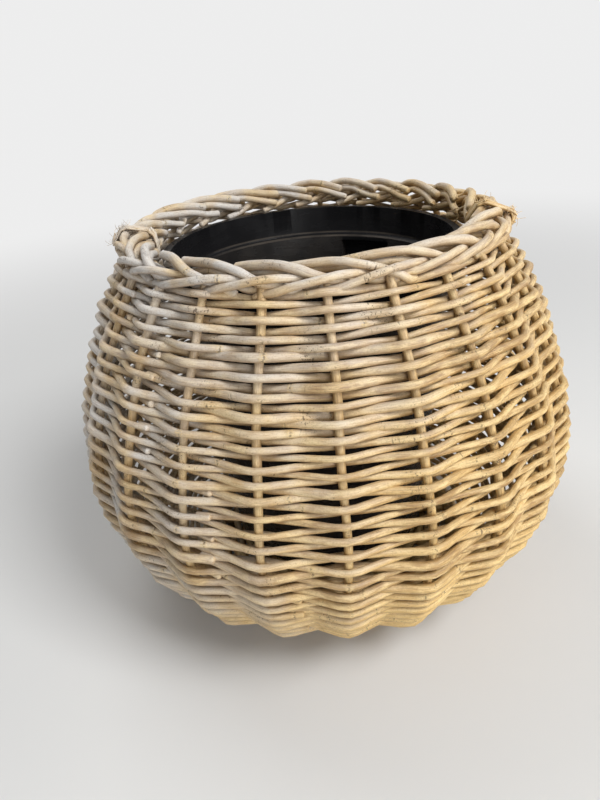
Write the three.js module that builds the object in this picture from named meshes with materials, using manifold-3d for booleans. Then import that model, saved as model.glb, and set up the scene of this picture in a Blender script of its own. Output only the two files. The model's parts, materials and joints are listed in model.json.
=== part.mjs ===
// Rattan planter: a round basket of woven rods with a plaited rim and a loose plastic liner.
// Millimetres, +Z up. The origin is on the floor, under the middle of the basket.
// Bearings are turned from -Y towards +X, so bearing 0 is the front of the basket.
import * as THREE from "three";
import { mergeVertices } from "three/addons/utils/BufferGeometryUtils.js";
import Module from "manifold-3d";

const wasm = await Module();
wasm.setup();

// Outline of the wall, at the outer face of the weave
const bellyRadius = 250;
const bellyHeight = 165;
const heelRadius = 217;
const heelHeight = 60;
const footRadius = 150;
const neckRadius = 178.5;
const upperCurvePower = 1.65;

// Rods of the wall
const stakeCount = 23;
const stakeDiameter = 6.2;
const firstStakeBearing = THREE.MathUtils.degToRad(2.7);
const weaverDiameter = 6;
const weaverCount = 20;
const rowGap = 0.4;
const crossingGap = 0.7;
const seatGap = 0.3;
const spliceGap = 4;
const stakeSteps = 12;
const curveSteps = 400;

// Plaited border on top of the wall
const borderInset = 16.5;
const borderWidth = 38;
const borderHeight = 18;
const borderStrands = 3;
const stepsPerCrossing = 4;
const strandThickness = 5.4;
const strandWidth = 11.5;
const strandEndGap = 4;
const lashingSlot = 2.1;
const rimHeight = 373;

// Rim lashings of flat peel
const peelWidth = 4.6;
const peelThickness = 1;
const lashingTurns = 3;
const lashingPitch = 5.6;
const lashingStepsPerTurn = 16;
const lashingSquareness = 8;
const lashingSlack = 0.4;
const lashingGapsFromFront = [5, -6];
const lashingNames = ["rim_lashing_right", "rim_lashing_left"];

// Foot hoop and woven base
const hoopDiameter = 18;
const hoopFlatDepth = 1;
const hoopSegments = 36;
const hoopSides = 8;
const stickWays = 2;
const sticksPerWay = 3;
const stickDiameter = 8;
const baseWeaverDiameter = 8;
const baseWeaverCount = 2;
const baseRowGap = 0.7;
const baseCrossingGap = 1.3;
const crossHalfLength = 26;

// Plastic liner
const linerClearance = 4;
const linerWall = 3;
const linerTopDrop = 6;
const linerTaper = 24;
const linerRimDepth = 26;
const linerStepWidth = 5;
const linerStepHeight = 7;
const linerLipWidth = 4;
const linerLipHeight = 5;
const linerFootHeight = 6;
const linerSegments = 36;
const pocketWidth = 56;
const pocketHeight = 90;
const pocketDepth = 4;
const pocketBearing = THREE.MathUtils.degToRad(151);

const FULL_TURN = 2 * Math.PI;
const QUARTER_TURN = Math.PI / 2;
const UP = new THREE.Vector3(0, 0, 1);

const planter = new THREE.Group();

function wickerMaterial(hex) {
  return new THREE.MeshStandardMaterial({ color: hex, roughness: 0.7, metalness: 0 });
}

const stakeMaterial = wickerMaterial(0xa8875c);
const weaverMaterials = [0xc3aa82, 0xb79c74, 0xcdb793, 0xbda27c].map(wickerMaterial);
const borderMaterial = wickerMaterial(0xbfae92);
const baseMaterial = wickerMaterial(0xb0926a);
const peelMaterial = wickerMaterial(0xd0c2a4);
const linerMaterial = new THREE.MeshStandardMaterial({ color: 0x0c0c0d, roughness: 0.25, metalness: 0 });

function addPiece(name, geometry, material) {
  const mesh = new THREE.Mesh(geometry, material);
  mesh.name = name;
  planter.add(mesh);
}

// Unit vector that points out from the axis at a bearing.
function outwardAt(bearing) {
  return new THREE.Vector3(Math.sin(bearing), -Math.cos(bearing), 0);
}

function pointAt(bearing, radius, height) {
  return outwardAt(bearing).multiplyScalar(radius).setZ(height);
}

// Rods have four sides. Weavers turn a ridge outwards, and everything else a flat side.
const ROD_SIDES = 4;
const RIDGE_OUT = 0;
const FLAT_OUT = Math.PI / ROD_SIDES;

// A rod along a path. The section's first half size lies along the facing
// vector given for each point, and its second one lies square to that and to the path.
function rodGeometry(path, facings, halfFacing, halfAcross, turn) {
  const sides = ROD_SIDES;
  const count = path.length;
  const positions = [];
  const triangles = [];
  for (let i = 0; i < count; i++) {
    const before = path[Math.max(i - 1, 0)];
    const after = path[Math.min(i + 1, count - 1)];
    const along = after.clone().sub(before).normalize();
    const facing = facings[i].clone().addScaledVector(along, -facings[i].dot(along)).normalize();
    const across = along.clone().cross(facing);
    for (let k = 0; k < sides; k++) {
      const angle = turn + (FULL_TURN * k) / sides;
      const corner = path[i]
        .clone()
        .addScaledVector(facing, halfFacing * Math.cos(angle))
        .addScaledVector(across, halfAcross * Math.sin(angle));
      positions.push(corner.x, corner.y, corner.z);
    }
  }
  for (let i = 0; i < count - 1; i++) {
    for (let k = 0; k < sides; k++) {
      const a = i * sides + k;
      const b = i * sides + ((k + 1) % sides);
      const c = (i + 1) * sides + k;
      const d = (i + 1) * sides + ((k + 1) % sides);
      triangles.push(a, b, d, a, d, c);
    }
  }
  const last = (count - 1) * sides;
  for (let k = 1; k < sides - 1; k++) {
    triangles.push(0, k + 1, k);
    triangles.push(last, last + k, last + k + 1);
  }
  const geometry = new THREE.BufferGeometry();
  geometry.setAttribute("position", new THREE.Float32BufferAttribute(positions, 3));
  geometry.setIndex(triangles);
  return geometry;
}

function roundRod(path, facings, diameter, turn) {
  return rodGeometry(path, facings, diameter / 2, diameter / 2, turn);
}

// Heights of the foot hoop's middle and top, and of the border's underside, and the border's radius
const hoopCentreHeight = hoopDiameter / 2 - hoopFlatDepth;
const hoopTop = hoopCentreHeight + hoopDiameter / 2;
const neckHeight = rimHeight - borderHeight;
const borderRadius = neckRadius - borderInset;

// Radius of the wall's outer face at a height above the floor: a parabola from the belly down
// to the heel, a tighter one from the heel in to the foot, and a power curve up to the neck.
const heelLean = (2 * (bellyRadius - heelRadius)) / (bellyHeight - heelHeight);
const heelDrop = heelHeight - hoopTop;
const heelCurl = (heelRadius - heelLean * heelDrop - footRadius) / heelDrop ** 2;
function wallRadius(height) {
  if (height < heelHeight) {
    const below = heelHeight - height;
    return heelRadius - heelLean * below - heelCurl * below ** 2;
  }
  if (height < bellyHeight) {
    const below = (bellyHeight - height) / (bellyHeight - heelHeight);
    return bellyRadius - (bellyRadius - heelRadius) * below ** 2;
  }
  const above = (height - bellyHeight) / (neckHeight - bellyHeight);
  return bellyRadius - (bellyRadius - neckRadius) * above ** upperCurvePower;
}

// How far the wall's outer face moves out for each millimetre of height.
function wallLean(height) {
  const reach = neckHeight / curveSteps;
  return (wallRadius(height + reach) - wallRadius(height - reach)) / (2 * reach);
}

// The line that the middle of each stake follows: the outer face moved in by half a weave.
const crossingReach = (stakeDiameter + weaverDiameter) / 2 + crossingGap;
const weaveDepth = crossingReach + weaverDiameter / 2;
const leanSine = (height) => Math.abs(wallLean(height)) / Math.hypot(1, wallLean(height));
const slantedEnd = (height) => (stakeDiameter / 2) * Math.SQRT1_2 * leanSine(height);
const wallLow = hoopTop + seatGap + slantedEnd(hoopTop);
const wallHigh = neckHeight - seatGap - slantedEnd(neckHeight);
const wallLine = [];
{
  let travelled = 0;
  for (let i = 0; i <= curveSteps; i++) {
    const height = THREE.MathUtils.lerp(wallLow, wallHigh, i / curveSteps);
    const lean = wallLean(height);
    const slant = Math.hypot(1, lean);
    const radius = wallRadius(height) - weaveDepth;
    const previous = wallLine[i - 1];
    if (previous) travelled += Math.hypot(radius - previous.radius, height - previous.height);
    wallLine.push({ travelled, radius, height, outX: 1 / slant, outZ: -lean / slant });
  }
}
const wallLength = wallLine[curveSteps].travelled;

// Place on the wall line at a distance along it from the foot.
function onWall(distance) {
  const wanted = THREE.MathUtils.clamp(distance, 0, wallLength);
  let i = 1;
  while (i < curveSteps && wallLine[i].travelled < wanted) i++;
  const low = wallLine[i - 1];
  const high = wallLine[i];
  const part = (wanted - low.travelled) / (high.travelled - low.travelled);
  const mix = (key) => THREE.MathUtils.lerp(low[key], high[key], part);
  return { radius: mix("radius"), height: mix("height"), outX: mix("outX"), outZ: mix("outZ") };
}

function stakeBearing(index) {
  return firstStakeBearing + (FULL_TURN * index) / stakeCount;
}

// Upright stakes, from the foot hoop to the underside of the border
for (let index = 0; index < stakeCount; index++) {
  const bearing = stakeBearing(index);
  const path = [];
  const facings = [];
  for (let step = 0; step <= stakeSteps; step++) {
    const place = onWall((wallLength * step) / stakeSteps);
    path.push(pointAt(bearing, place.radius, place.height));
    facings.push(outwardAt(bearing));
  }
  const name = "stake_" + String(index + 1).padStart(2, "0");
  addPiece(name, roundRod(path, facings, stakeDiameter, FLAT_OUT), stakeMaterial);
}

// Weavers: one spiral that passes behind a stake and in front of the next. The number of
// stakes is odd, so each round lies the other way round from the one under it.
const rowPitch = weaverDiameter + rowGap;
const firstRow = weaverDiameter / 2 + seatGap + crossingReach * leanSine(hoopTop);
const lastRow = wallLength - lashingSlot - weaverDiameter / 2;
const totalPasses = Math.floor(((lastRow - firstRow) / rowPitch) * stakeCount);

function weaverBend(pass) {
  const place = onWall(firstRow + (rowPitch * pass) / stakeCount);
  const bearing = stakeBearing(pass);
  const side = -Math.cos(Math.PI * pass);
  const out = outwardAt(bearing).multiplyScalar(place.outX).setZ(place.outZ);
  const middle = pointAt(bearing, place.radius, place.height);
  return { point: middle.addScaledVector(out, crossingReach * side), out };
}

// The rod runs straight from one stake to the next, so a splice lies on that straight line.
function weaverPoint(pass) {
  const bend = weaverBend(Math.floor(pass));
  const next = weaverBend(Math.floor(pass) + 1);
  const part = pass - Math.floor(pass);
  return { point: bend.point.lerp(next.point, part), out: bend.out.lerp(next.out, part) };
}

const splicePasses = spliceGap / ((FULL_TURN * bellyRadius) / stakeCount);
for (let index = 0; index < weaverCount; index++) {
  const from = (totalPasses * index) / weaverCount + splicePasses / 2;
  const to = (totalPasses * (index + 1)) / weaverCount - splicePasses / 2;
  const passes = [from];
  for (let pass = Math.floor(from) + 1; pass < to; pass++) passes.push(pass);
  passes.push(to);
  const places = passes.map(weaverPoint);
  const path = places.map((place) => place.point);
  const facings = places.map((place) => place.out);
  const name = "weaver_" + String(index + 1).padStart(2, "0");
  const material = weaverMaterials[index % weaverMaterials.length];
  addPiece(name, roundRod(path, facings, weaverDiameter, RIDGE_OUT), material);
}

// Plaited border: three flat strands, each a pair of rods, that cross over and under, once for
// each stake. Each one comes up at an edge of the border and goes down in its middle. The
// crossings aren't a multiple of three, so each strand runs on into another one after a turn.
const borderMiddle = rimHeight - borderHeight / 2;
const borderSteps = stakeCount * stepsPerCrossing;
const endGapSteps = (strandEndGap * borderSteps) / (FULL_TURN * borderRadius);
const plaitSwing = (borderWidth - strandWidth) / 2;
const stepsPerPlait = borderStrands * stepsPerCrossing;
const liftShares = Array.from({ length: stepsPerPlait }, (_, step) => {
  return Math.sin((2 * FULL_TURN * step) / stepsPerPlait);
});
const plaitLift = (borderHeight - strandThickness) / 2 / Math.max(...liftShares);
for (let strand = 0; strand < borderStrands; strand++) {
  const path = [];
  const facings = [];
  for (let step = 0; step <= borderSteps; step++) {
    const at = Math.min(step, borderSteps - endGapSteps);
    const bearing = firstStakeBearing + (FULL_TURN * at) / borderSteps;
    const waves = at / stepsPerCrossing + strand;
    const phase = (FULL_TURN * waves) / borderStrands;
    const radius = borderRadius + plaitSwing * Math.sin(phase);
    const height = borderMiddle - plaitLift * Math.sin(2 * phase);
    path.push(pointAt(bearing, radius, height));
    facings.push(UP);
  }
  const geometry = rodGeometry(
    path,
    facings,
    strandThickness * Math.SQRT1_2,
    strandWidth * Math.SQRT1_2,
    FLAT_OUT,
  );
  addPiece("border_strand_" + (strand + 1), geometry, borderMaterial);
}

// Lashings of flat peel round the border, in a gap between two stakes on each side
const lashingRoom = seatGap + peelThickness / 2 + lashingSlack;
const lashingHalfWidth = borderWidth / 2 + lashingRoom;
const lashingHalfHeight = borderHeight / 2 + lashingRoom;
lashingGapsFromFront.forEach((gap, which) => {
  const middleBearing = stakeBearing(gap + 1 / 2);
  const path = [];
  const facings = [];
  const steps = lashingTurns * lashingStepsPerTurn;
  for (let step = 0; step <= steps; step++) {
    const turned = (FULL_TURN * step) / lashingStepsPerTurn + QUARTER_TURN;
    const squared = (value) => Math.sign(value) * Math.abs(value) ** (2 / lashingSquareness);
    const sideways = lashingPitch * (step / lashingStepsPerTurn - lashingTurns / 2);
    const radius = borderRadius + lashingHalfWidth * squared(Math.cos(turned));
    const height = borderMiddle + lashingHalfHeight * squared(Math.sin(turned));
    const bearing = middleBearing + sideways / borderRadius;
    path.push(pointAt(bearing, radius, height));
    const out = outwardAt(bearing).multiplyScalar(Math.cos(turned) * lashingHalfHeight);
    facings.push(out.setZ(Math.sin(turned) * lashingHalfWidth));
  }
  const halfThick = peelThickness * Math.SQRT1_2;
  const halfWide = peelWidth * Math.SQRT1_2;
  const geometry = rodGeometry(path, facings, halfThick, halfWide, FLAT_OUT);
  addPiece(lashingNames[which], geometry, peelMaterial);
});

// A closed profile of (radius, height) points turned about the upright axis.
function turned(profile, segments) {
  const points = profile.map(([radius, height]) => new THREE.Vector2(radius, height));
  const geometry = new THREE.LatheGeometry(points, segments);
  geometry.rotateX(QUARTER_TURN);
  geometry.deleteAttribute("normal");
  geometry.deleteAttribute("uv");
  return geometry;
}

// Foot hoop: a thick pole bent into a ring under the stakes, cut flat where it stands
const hoopRadius = onWall(0).radius;
const hoopCorner = hoopDiameter / 2 / Math.cos(Math.PI / hoopSides);
{
  const profile = [];
  for (let k = 0; k <= hoopSides; k++) {
    const angle = FULL_TURN * (k / hoopSides) + Math.PI / hoopSides;
    const radius = hoopRadius + hoopCorner * Math.cos(angle);
    const height = hoopCentreHeight + hoopCorner * Math.sin(angle);
    profile.push([radius, Math.max(height, 0)]);
  }
  addPiece("foot_hoop", turned(profile, hoopSegments), baseMaterial);
}

// Base sticks: three one way and three across them, opened out like spokes into the hoop
const spokeCount = 2 * stickWays * sticksPerWay;
const hoopInnerRadius = hoopRadius - hoopDiameter / 2;
const baseCrossingReach = (stickDiameter + baseWeaverDiameter) / 2 + baseCrossingGap;
const baseLevel = baseCrossingReach + baseWeaverDiameter / 2 + seatGap;
const stickStep = stickDiameter + baseRowGap;
const stickLift = (stickDiameter + seatGap) / 2;
const baseStart = crossHalfLength + sticksPerWay * stickDiameter + baseWeaverDiameter / 2;
const spokeStart = baseStart - baseWeaverDiameter;
for (let way = 0; way < stickWays; way++) {
  for (let row = 0; row < sticksPerWay; row++) {
    const place = row - (sticksPerWay - 1) / 2;
    const fan = (FULL_TURN / spokeCount) * place;
    const lift = way === 0 ? -stickLift : stickLift;
    const end = hoopInnerRadius - seatGap;
    const flat = [
      [-end * Math.cos(fan), end * Math.sin(fan), 0],
      [-spokeStart * Math.cos(fan), spokeStart * Math.sin(fan), 0],
      [-crossHalfLength, stickStep * place, lift],
      [crossHalfLength, stickStep * place, lift],
      [spokeStart * Math.cos(fan), spokeStart * Math.sin(fan), 0],
      [end * Math.cos(fan), end * Math.sin(fan), 0],
    ];
    const path = flat.map(([x, y, z]) => {
      const point = new THREE.Vector3(x, y, baseLevel + z);
      return point.applyAxisAngle(UP, way * QUARTER_TURN);
    });
    const name = "base_stick_" + (way * sticksPerWay + row + 1);
    addPiece(name, roundRod(path, path.map(() => UP), stickDiameter, FLAT_OUT), baseMaterial);
  }
}

// Base weavers: two rods paired in a spiral, one over a spoke where the other is under it
const baseRowPitch = baseWeaverDiameter + baseRowGap;
const baseEnd = hoopInnerRadius - baseWeaverDiameter / 2 - baseRowGap;
const baseStretch = 1 / Math.cos(Math.PI / spokeCount);
const baseRounds = (baseEnd - baseStart) / (baseWeaverCount * baseRowPitch * baseStretch);
for (let which = 0; which < baseWeaverCount; which++) {
  const path = [];
  const passes = Math.floor((baseRounds - which / baseWeaverCount) * spokeCount);
  for (let pass = 0; pass <= passes; pass++) {
    const rounds = pass / spokeCount + which / baseWeaverCount;
    const radius = baseStart + baseWeaverCount * baseRowPitch * baseStretch * rounds;
    const bearing = (FULL_TURN * pass) / spokeCount;
    const side = Math.cos(Math.PI * (pass + which));
    path.push(pointAt(bearing, radius, baseLevel + baseCrossingReach * side));
  }
  const facings = path.map(() => UP);
  const name = "base_weaver_" + (which + 1);
  addPiece(name, roundRod(path, facings, baseWeaverDiameter, RIDGE_OUT), baseMaterial);
}

// A geometry as a solid that can be joined and cut, without the slivers at a turned axis.
function solidFrom(geometry) {
  const merged = mergeVertices(geometry);
  const corners = merged.index.array;
  const triVerts = [];
  for (let i = 0; i < corners.length; i += 3) {
    const [a, b, c] = [corners[i], corners[i + 1], corners[i + 2]];
    if (a !== b && b !== c && c !== a) triVerts.push(a, b, c);
  }
  return new wasm.Manifold(
    new wasm.Mesh({
      numProp: 3,
      vertProperties: merged.attributes.position.array,
      triVerts: new Uint32Array(triVerts),
    }),
  );
}

function geometryFrom(solid) {
  const made = solid.getMesh();
  const geometry = new THREE.BufferGeometry();
  geometry.setAttribute("position", new THREE.BufferAttribute(made.vertProperties, made.numProp));
  geometry.setIndex(new THREE.BufferAttribute(made.triVerts, 1));
  return geometry;
}

// Upright block whose outer face is square to a bearing.
function blockAt(bearing, innerReach, outerReach, width, low, high) {
  const geometry = new THREE.BoxGeometry(outerReach - innerReach, width, high - low);
  geometry.deleteAttribute("normal");
  geometry.deleteAttribute("uv");
  geometry.translate((innerReach + outerReach) / 2, 0, (low + high) / 2);
  geometry.rotateZ(bearing - QUARTER_TURN);
  return geometry;
}

// Liner: a tapered pot with a stepped rim, which stands on the base and lifts out
const linerFloor = baseLevel + baseCrossingReach + baseWeaverDiameter / 2 + seatGap;
const linerTop = neckHeight - linerTopDrop;
const linerRimRadius = borderRadius - borderWidth / 2 - linerClearance;
const linerBandRadius = linerRimRadius - linerLipWidth;
const linerNeckRadius = linerBandRadius - linerStepWidth;
const linerFloorRadius = linerNeckRadius - linerTaper;
const linerStepTop = linerTop - linerRimDepth;
const linerStepLow = linerStepTop - linerStepHeight;
{
  const outside = [
    [0, linerFloor],
    [linerFloorRadius - linerFootHeight, linerFloor],
    [linerFloorRadius, linerFloor + linerFootHeight],
    [linerNeckRadius, linerStepLow],
    [linerBandRadius, linerStepTop],
    [linerBandRadius, linerTop - linerLipHeight],
    [linerRimRadius, linerTop - linerLipHeight],
    [linerRimRadius, linerTop],
    [0, linerTop],
  ];
  const inside = [
    [0, linerFloor + linerWall],
    [linerFloorRadius - linerFootHeight, linerFloor + linerWall],
    [linerFloorRadius - linerWall, linerFloor + linerFootHeight],
    [linerNeckRadius - linerWall, linerStepLow],
    [linerBandRadius - linerWall, linerStepTop],
    [linerBandRadius - linerWall, linerTop + linerWall],
    [0, linerTop + linerWall],
  ];
  const backReach = linerNeckRadius - linerWall + pocketDepth;
  const pocketLow = linerStepLow - pocketHeight;
  const innerReach = linerFloorRadius - linerWall;
  const boss = blockAt(
    pocketBearing,
    innerReach,
    backReach + linerWall,
    pocketWidth + 2 * linerWall,
    pocketLow - linerWall,
    linerStepLow,
  );
  const pocket = blockAt(
    pocketBearing,
    innerReach / 2,
    backReach,
    pocketWidth,
    pocketLow,
    linerStepLow - linerWall,
  );
  const body = solidFrom(turned(outside, linerSegments)).add(solidFrom(boss));
  const hollow = solidFrom(turned(inside, linerSegments)).add(solidFrom(pocket));
  addPiece("liner", geometryFrom(body.subtract(hollow)), linerMaterial);
}

export default planter;
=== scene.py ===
"""Finished look of a woven rattan planter with a plastic liner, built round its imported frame."""

import json
import math
import random

import bpy
import numpy as np
from bpy.props import FloatProperty, FloatVectorProperty, IntProperty, PointerProperty
from mathutils import Matrix, Vector

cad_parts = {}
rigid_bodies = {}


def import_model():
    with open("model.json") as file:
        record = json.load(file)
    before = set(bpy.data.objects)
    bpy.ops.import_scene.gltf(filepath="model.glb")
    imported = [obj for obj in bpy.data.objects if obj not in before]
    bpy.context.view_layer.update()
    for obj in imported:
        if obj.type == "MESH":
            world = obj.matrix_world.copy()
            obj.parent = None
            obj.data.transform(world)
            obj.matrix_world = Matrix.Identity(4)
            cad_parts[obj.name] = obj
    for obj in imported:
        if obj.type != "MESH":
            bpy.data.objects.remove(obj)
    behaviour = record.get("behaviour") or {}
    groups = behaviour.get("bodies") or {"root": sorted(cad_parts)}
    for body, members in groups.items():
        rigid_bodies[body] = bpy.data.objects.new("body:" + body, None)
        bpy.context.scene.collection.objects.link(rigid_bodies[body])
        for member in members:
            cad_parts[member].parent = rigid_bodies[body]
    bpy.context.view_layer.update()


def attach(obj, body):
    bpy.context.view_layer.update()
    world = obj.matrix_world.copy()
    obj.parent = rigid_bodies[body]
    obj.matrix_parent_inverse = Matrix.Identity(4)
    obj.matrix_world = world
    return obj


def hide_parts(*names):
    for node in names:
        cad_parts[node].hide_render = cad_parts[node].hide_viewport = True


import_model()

bl_info = {
    "name": "Woven rattan planter",
    "version": (1, 0, 0),
    "blender": (4, 5, 0),
    "location": "View3D > Sidebar > Planter",
    "description": "Weaves the stakes, rods, border, base and liner of a rattan planter",
    "category": "Object",
}

FULL_TURN = 2 * math.pi
BASKET = "basket"
LINER = "liner"
FIRST_STAKE_DEGREES = 2.7
POCKET_BEARING = math.radians(151)
BACKDROP = (0.85, 0.85, 0.85, 1)
LENGTH = {"unit": "LENGTH", "subtype": "DISTANCE"}
COLOUR = {"size": 3, "subtype": "COLOR"}


class WallSizes(bpy.types.PropertyGroup):
    """The outline of the woven wall"""

    belly_radius: FloatProperty(
        name="Belly radius", description="Widest radius, outside the weave", default=0.250, **LENGTH)
    belly_height: FloatProperty(
        name="Belly height", description="Height of the widest place", default=0.165, **LENGTH)
    heel_radius: FloatProperty(
        name="Heel radius", description="Radius where the wall starts to turn in to the foot",
        default=0.217, **LENGTH)
    heel_height: FloatProperty(
        name="Heel height", description="Height where the wall starts to turn in", default=0.060, **LENGTH)
    foot_radius: FloatProperty(
        name="Foot radius", description="Radius of the weave on the foot hoop", default=0.150, **LENGTH)
    neck_radius: FloatProperty(
        name="Neck radius", description="Radius of the weave under the border", default=0.1785, **LENGTH)
    neck_height: FloatProperty(
        name="Neck height", description="Height of the border's underside", default=0.355, **LENGTH)
    foot_height: FloatProperty(
        name="Foot height", description="Height of the foot hoop's top", default=0.017, **LENGTH)


class WeaveSizes(bpy.types.PropertyGroup):
    """The stakes and the rods woven round them"""

    stake_count: IntProperty(name="Stakes", description="Number of upright stakes", default=23)
    stake_diameter: FloatProperty(
        name="Stake diameter", description="Thickness of an upright stake", default=0.0066, **LENGTH)
    rod_diameter: FloatProperty(
        name="Rod diameter", description="Mean thickness of a woven rod", default=0.0061, **LENGTH)
    row_pitch: FloatProperty(
        name="Row pitch", description="Distance from one row to the next along the wall",
        default=0.0064, **LENGTH)
    unevenness: FloatProperty(
        name="Unevenness", description="How far a rod strays from its even place", default=0.0008, **LENGTH)


class BorderSizes(bpy.types.PropertyGroup):
    """The plaited border"""

    radius: FloatProperty(
        name="Border radius", description="Radius of the border's middle", default=0.162, **LENGTH)
    rod_diameter: FloatProperty(
        name="Border rod diameter", description="Thickness of a rod of the border", default=0.0066, **LENGTH)


class RattanColours(bpy.types.PropertyGroup):
    """The colours of the cane"""

    deep: FloatVectorProperty(
        name="Deep tan", description="Darker streaks of the cane", default=(0.27, 0.145, 0.050), **COLOUR)
    tan: FloatVectorProperty(
        name="Tan", description="Body colour of the cane", default=(0.64, 0.425, 0.165), **COLOUR)
    pale: FloatVectorProperty(
        name="Pale", description="Lighter streaks of the cane", default=(0.82, 0.62, 0.305), **COLOUR)
    golden: FloatVectorProperty(
        name="Golden", description="Fresher colour of the cane near the foot",
        default=(0.84, 0.59, 0.225), **COLOUR)
    # The grey wash colour also paints cool sky light on the tops of rods, high up the wall and at the left
    wash: FloatVectorProperty(
        name="Grey wash", description="Grey wash on the weathered side",
        default=(0.67, 0.635, 0.585), **COLOUR)
    mark: FloatVectorProperty(
        name="Marks", description="Nodes, cracks and specks", default=(0.07, 0.038, 0.018), **COLOUR)


class LinerFinish(bpy.types.PropertyGroup):
    """The finish of the plastic liner"""

    colour: FloatVectorProperty(
        name="Liner colour", description="Colour of the moulded plastic",
        default=(0.010, 0.010, 0.011), **COLOUR)
    # The dust colour also paints the highlight lines along the rim's step
    dust: FloatVectorProperty(
        name="Dust", description="Colour of the dust on the plastic",
        default=(0.085, 0.072, 0.060), **COLOUR)
    roughness: FloatProperty(
        name="Liner roughness", description="Roughness of the moulded plastic",
        default=0.24, subtype="FACTOR")


class StageSettings(bpy.types.PropertyGroup):
    """The floor and the lamps"""

    floor_colour: FloatVectorProperty(
        name="Floor", description="Colour of the pale floor", default=(0.74, 0.74, 0.73), **COLOUR)
    key_power: FloatProperty(
        name="Key light", description="Power of the main lamp", default=46, unit="POWER")
    fill_power: FloatProperty(
        name="Fill light", description="Power of the lamp low in front", default=27, unit="POWER")
    back_power: FloatProperty(
        name="Back light", description="Power of the lamp behind", default=21, unit="POWER")
    side_power: FloatProperty(
        name="Right light", description="Power of the lamp at the right", default=4, unit="POWER")
    sky_strength: FloatProperty(
        name="Room light", description="Strength of the even light all round", default=0.18)


# Places and lines


def outward(bearing):
    """Unit vectors out from the axis at bearings turned from -Y towards +X."""
    bearing = np.asarray(bearing, dtype=float)
    return np.stack([np.sin(bearing), -np.cos(bearing), np.zeros_like(bearing)], axis=-1)


def points_at(bearing, radius, height):
    """Points at bearings, at a distance from the axis and a height over the floor."""
    points = outward(bearing) * np.asarray(radius)[..., None]
    points[..., 2] = height
    return points


def stake_bearing(number, stake_count, shift_degrees=0):
    """Bearing of a stake, or of a place between two, counted from the front one."""
    return math.radians(FIRST_STAKE_DEGREES + shift_degrees) + FULL_TURN * number / stake_count


def softened(part):
    """A share from 0 to 1 with a soft start and a soft end."""
    return part * part * (3 - 2 * part)


def eased(values, at):
    """Values given at whole numbers, read in between with a soft curve."""
    low = np.clip(np.floor(at).astype(int), 0, len(values) - 2)
    part = softened(at - low)
    return values[low] * (1 - part) + values[low + 1] * part


def smoothed(points, rounds):
    """A line with its bends softened, between the same two ends."""
    for _ in range(rounds):
        points[1:-1] = (points[:-2] + 2 * points[1:-1] + points[2:]) / 4
    return points


class WallLine:
    """The line up the wall that the middles of the stakes follow."""

    weave_depth = 0.0098
    foot_gap = 0.0023
    top_reach = 0.0030
    neck_power = 1.65
    mark_count = 401

    def __init__(self, wall):
        heights = np.linspace(
            wall.foot_height + self.foot_gap, wall.neck_height + self.top_reach, self.mark_count)
        drop = wall.heel_height - wall.foot_height
        lean = 2 * (wall.belly_radius - wall.heel_radius) / (wall.belly_height - wall.heel_height)
        curl = (wall.heel_radius - lean * drop - wall.foot_radius) / drop ** 2

        def reach(height):
            below_heel = wall.heel_height - height
            low = wall.heel_radius - lean * below_heel - curl * below_heel ** 2
            below = (wall.belly_height - height) / (wall.belly_height - wall.heel_height)
            middle = wall.belly_radius - (wall.belly_radius - wall.heel_radius) * below ** 2
            above = np.clip((height - wall.belly_height) / (wall.neck_height - wall.belly_height), 0, None)
            high = wall.belly_radius - (wall.belly_radius - wall.neck_radius) * above ** self.neck_power
            over_heel = np.where(height < wall.belly_height, middle, high)
            return np.where(height < wall.heel_height, low, over_heel)

        near = 0.0009
        slope = (reach(heights + near) - reach(heights - near)) / (2 * near)
        slant = np.hypot(1, slope)
        self.radius = reach(heights) - self.weave_depth
        self.height = heights
        self.out_radius = 1 / slant
        self.out_height = -slope / slant
        spans = np.hypot(np.diff(self.radius), np.diff(heights))
        self.travelled = np.concatenate([[0], np.cumsum(spans)])
        self.length = self.travelled[-1]

    def at(self, distance):
        """Radius, height and outward slant at distances from the foot."""
        return [np.interp(distance, self.travelled, row)
                for row in (self.radius, self.height, self.out_radius, self.out_height)]


# Rods


def rounded_ends(points, radii):
    """Adds short narrowing steps at both ends of a rod, so that it closes in a soft blunt end."""
    blunt = 0.5
    least_step, most_step = 0.05, 0.9
    radius_shares = np.array([0.02, 0.55, 0.86, 0.98])
    backs = np.array([0.0, 0.12, 0.45, 0.85]) * blunt

    def end(point, next_point, radius):
        step = next_point - point
        length = np.linalg.norm(step)
        cap = point + step / length * (radius * backs)[:, None]
        first = point + step * min(most_step, blunt * radius / length + least_step)
        return cap, radius * radius_shares, first

    head, head_radii, first = end(points[0], points[1], radii[0])
    tail, tail_radii, last = end(points[-1], points[-2], radii[-1])
    points = np.concatenate([head, [first], points[1:-1], [last], tail[::-1]])
    radii = np.concatenate([head_radii, radii, tail_radii[::-1]])
    return points, radii


def settle(lines, halves, rounds):
    """Pushes crossing rods apart until they only touch, and keeps each one smooth.

    Lines are the rods' middle lines, and halves are half their thicknesses."""
    push, smoothing, hold, least = 0.5, 0.3, 0.03, 1e-12
    home = np.concatenate(lines)
    counts = [len(line) for line in lines]
    owner = np.repeat(np.arange(len(lines)), counts)
    half = np.repeat(halves, counts)
    reach = half[:, None] + half[None]
    reach[owner[:, None] == owner[None]] = 0
    inside = np.nonzero((owner[:-2] == owner[1:-1]) & (owner[2:] == owner[1:-1]))[0] + 1
    rows = np.arange(len(home))
    place = home.copy()
    for _ in range(rounds):
        square = np.sum(place ** 2, axis=1)
        apart = np.sqrt(np.clip(square[:, None] + square[None] - 2 * place @ place.T, least, None))
        short = reach - apart
        nearest = short.argmax(axis=1)
        depth = np.clip(short[rows, nearest], 0, None)
        away = (place - place[nearest]) / apart[rows, nearest][:, None]
        place += push * away * depth[:, None]
        bow = (place[inside - 1] + place[inside + 1]) / 2 - place[inside]
        place[inside] += smoothing * bow
        place += hold * (home - place)
    return np.split(place, np.cumsum(counts)[:-1])


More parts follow.
